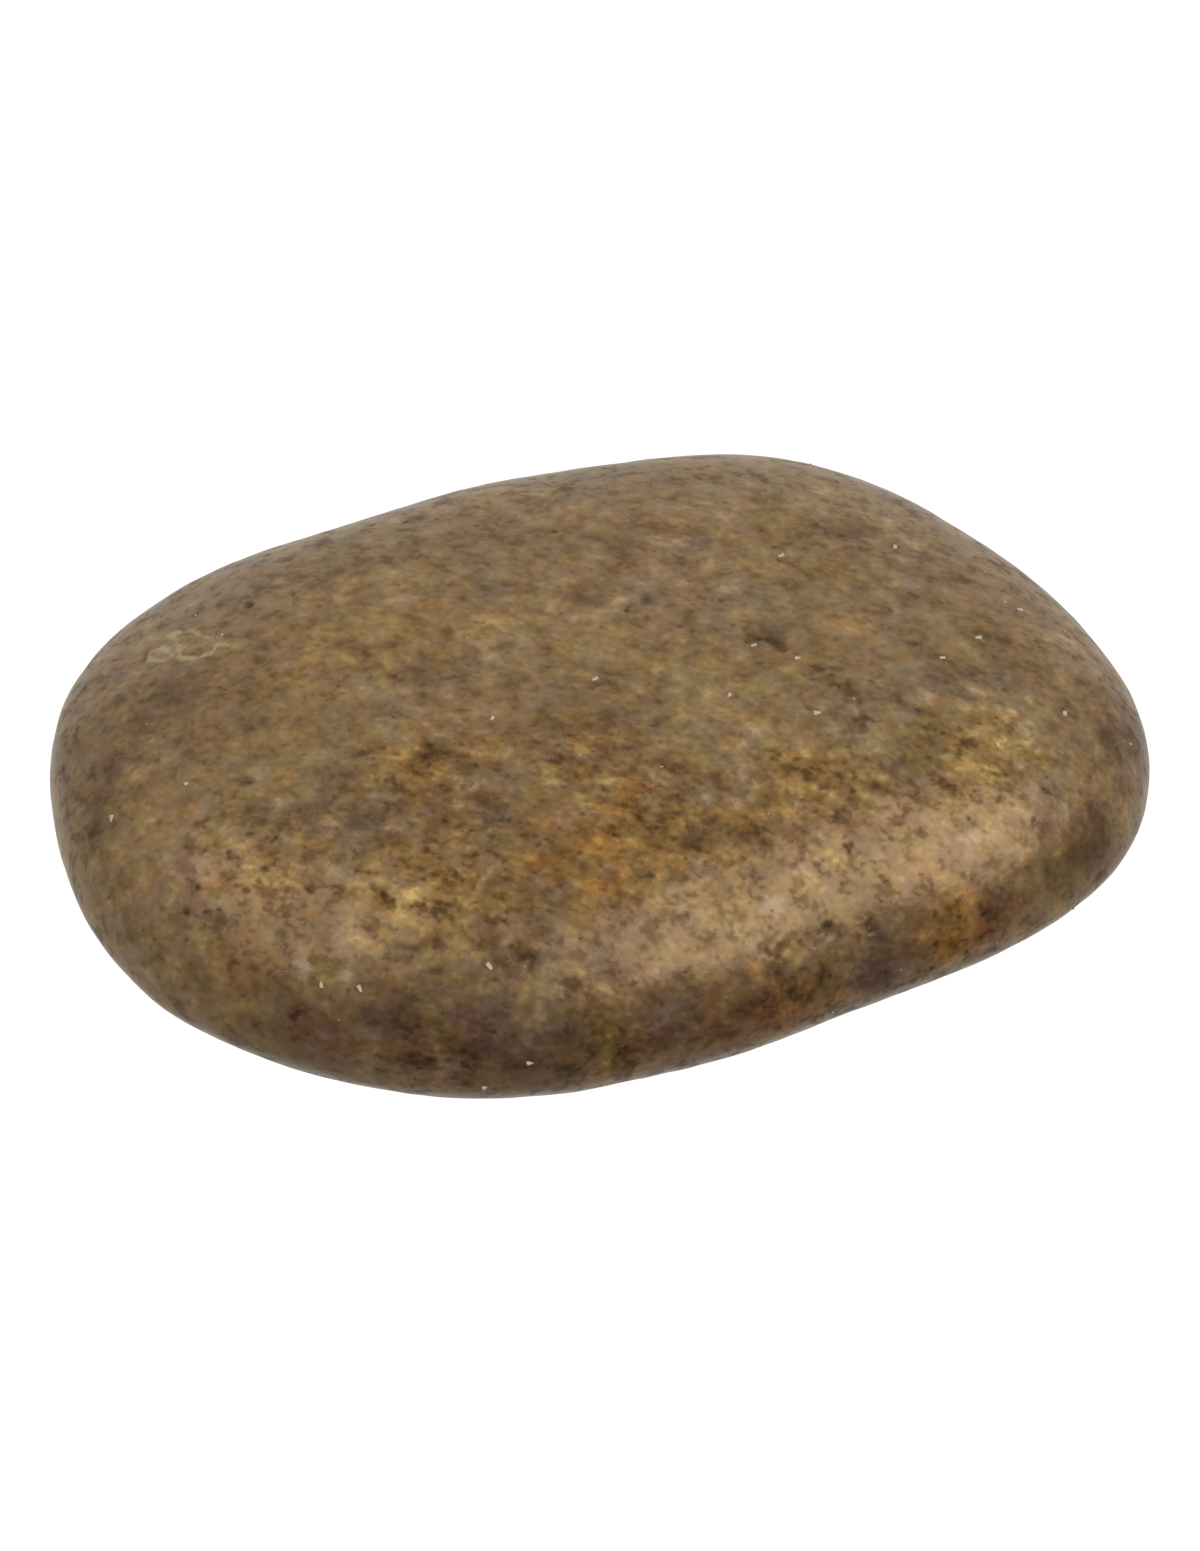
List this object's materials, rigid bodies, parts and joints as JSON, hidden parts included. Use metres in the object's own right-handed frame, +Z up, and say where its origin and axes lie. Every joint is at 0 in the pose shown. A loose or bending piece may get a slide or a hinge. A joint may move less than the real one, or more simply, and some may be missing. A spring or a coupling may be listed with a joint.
{
  "type": "pyrite pocket stone",
  "caption": "Flat oval pocket stone, rounded and polished all over, speckled brown and bronze, resting on a small worn flat.",
  "frame": {"origin": "on the small worn flat under the stone, below the middle of its box", "axes": "+X along the stone's long side, +Y across it, +Z up, away from the surface that it lies on"},
  "size_m": [0.0446, 0.0318, 0.0114],
  "materials": {
    "polished_rock": "satin"
  },
  "bodies": {
    "root": {"pebble": "polished_rock"}
  },
  "joints": []
}
